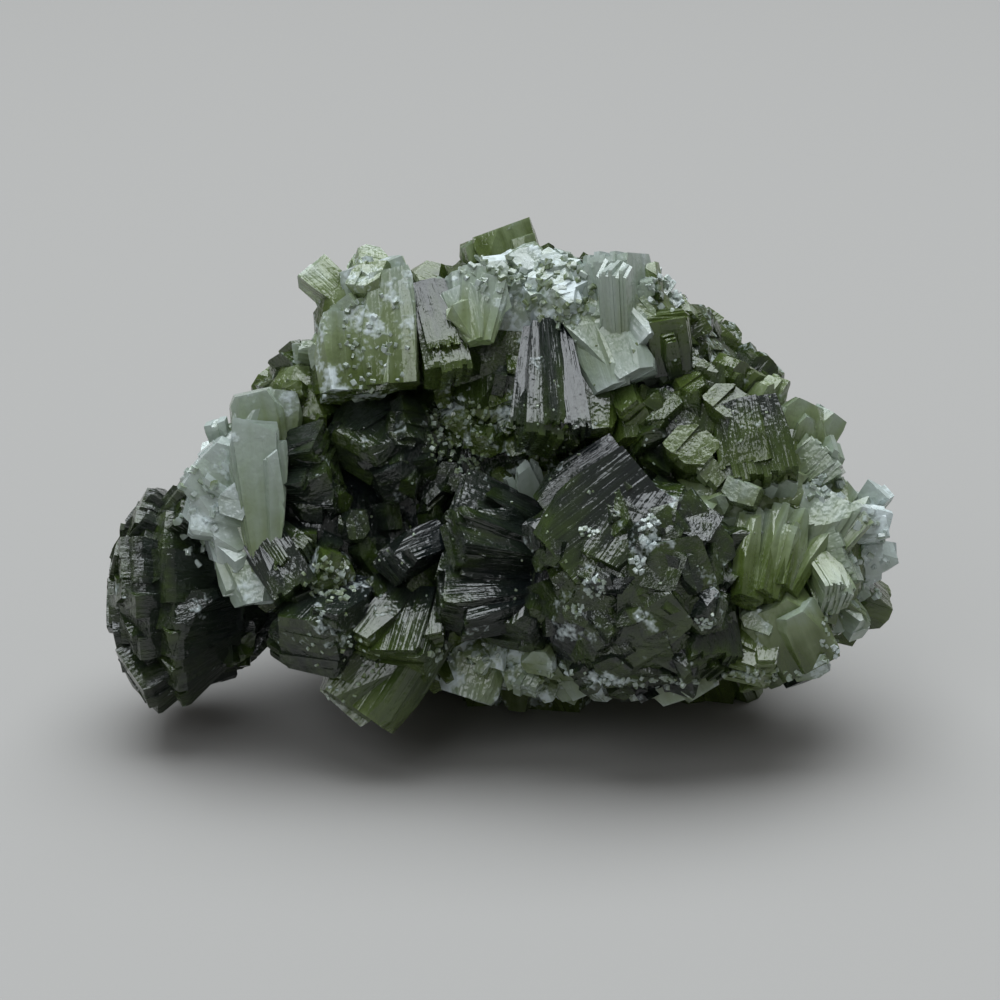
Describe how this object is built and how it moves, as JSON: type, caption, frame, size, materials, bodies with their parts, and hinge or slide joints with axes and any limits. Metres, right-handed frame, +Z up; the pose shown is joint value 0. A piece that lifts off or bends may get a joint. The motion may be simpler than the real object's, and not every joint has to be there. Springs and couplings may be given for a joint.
{
  "type": "prehnite crystal specimen",
  "caption": "Loose cluster of green prehnite: fanned tabular crystals around a dark hollow, with a bow-tie group standing out at one side.",
  "frame": {"origin": "middle of the bounding box on the resting plane", "axes": "+X along the specimen's length, across the face that shows, +Y away from that face, +Z up from the surface that it rests on"},
  "size_m": [0.0538, 0.0354, 0.0334],
  "materials": {
    "prehnite": "translucent green crystal faces, glassy to pearly, dark grey-green where the crystals face outwards and pale where they are thin"
  },
  "bodies": {
    "root": {"prehnite_cluster": "prehnite"}
  },
  "joints": []
}
